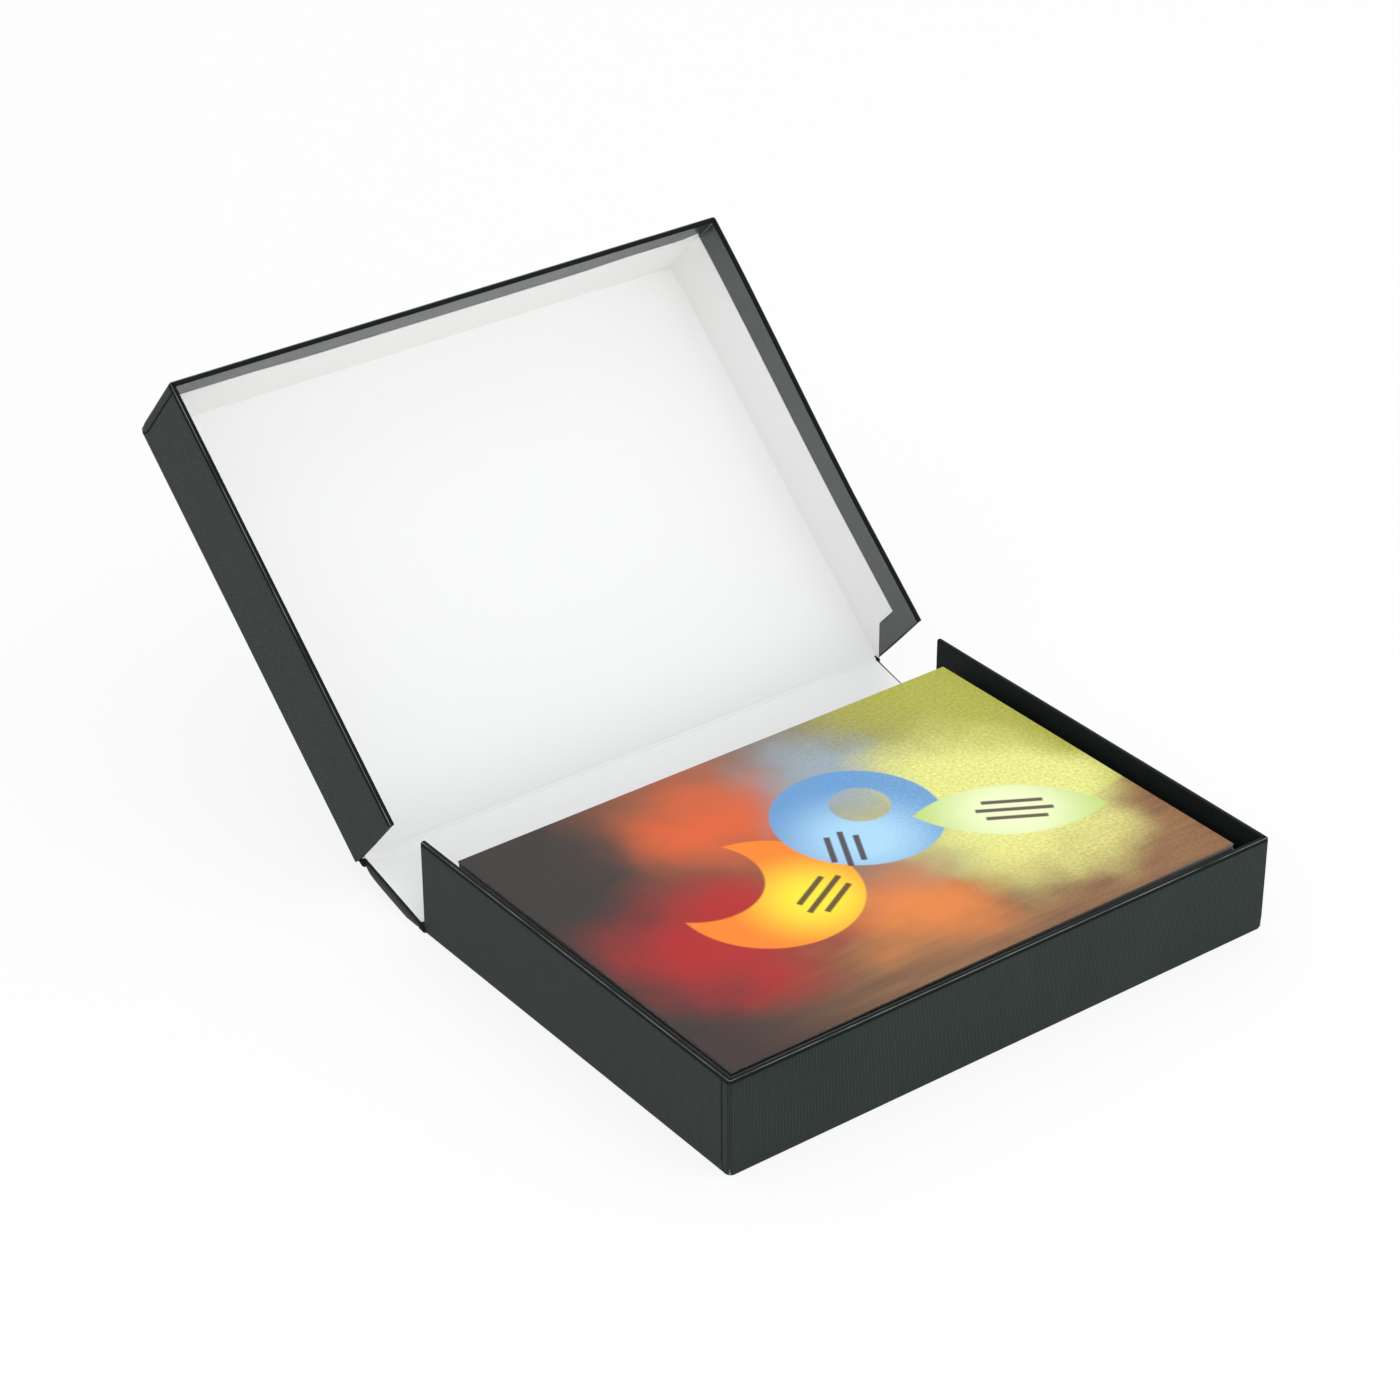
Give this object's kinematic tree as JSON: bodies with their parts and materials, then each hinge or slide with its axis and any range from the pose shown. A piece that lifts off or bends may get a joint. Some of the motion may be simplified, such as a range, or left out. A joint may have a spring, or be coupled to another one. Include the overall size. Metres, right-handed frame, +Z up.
{
  "type": "portfolio box",
  "caption": "Cloth-covered portfolio box standing open: shallow tray with a stack of A4 prints, hinged spine flap and a deep lid that fits over the tray.",
  "frame": {"origin": "centre of the tray's underside, on the table", "axes": "+Z up, X along the hinges, the tray's front wall at -Y and the hinges at +Y"},
  "size_m": [0.326, 0.473, 0.2125],
  "materials": {
    "cover_cloth": "black book cloth, fine weave, satin",
    "lining_paper": "smooth white lining paper, matt",
    "greyboard": "raw greyboard, matt",
    "print_paper": "white photo paper edges",
    "printed_face": "printed paper with a fine texture, semi-matt"
  },
  "bodies": {
    "tray": {"tray_panel_board": "greyboard", "tray_front_board": "greyboard", "tray_left_board": "greyboard", "tray_right_board": "greyboard", "tray_cover": "cover_cloth", "tray_lining": "lining_paper", "tray_hinge_strip": "cover_cloth", "print_stack": "print_paper", "top_print": "printed_face"},
    "spine": {"spine_board": "greyboard", "spine_cover": "cover_cloth", "spine_lining": "lining_paper", "spine_hinge_strip": "cover_cloth"},
    "lid": {"lid_panel_board": "greyboard", "lid_front_board": "greyboard", "lid_left_board": "greyboard", "lid_right_board": "greyboard", "lid_cover": "cover_cloth", "lid_lining": "lining_paper"}
  },
  "joints": [
    {"name": "spine_hinge", "type": "hinge", "parent": "tray", "child": "spine", "pos_m": [0, 0.1209, 0.0016], "axis": [1, 0, 0], "range_deg": [-11, 76.3]},
    {"name": "lid_hinge", "type": "hinge", "parent": "spine", "child": "lid", "pos_m": [0, 0.17084, 0.01377], "axis": [1, 0, 0], "range_deg": [-27.9, 62.1]}
  ]
}
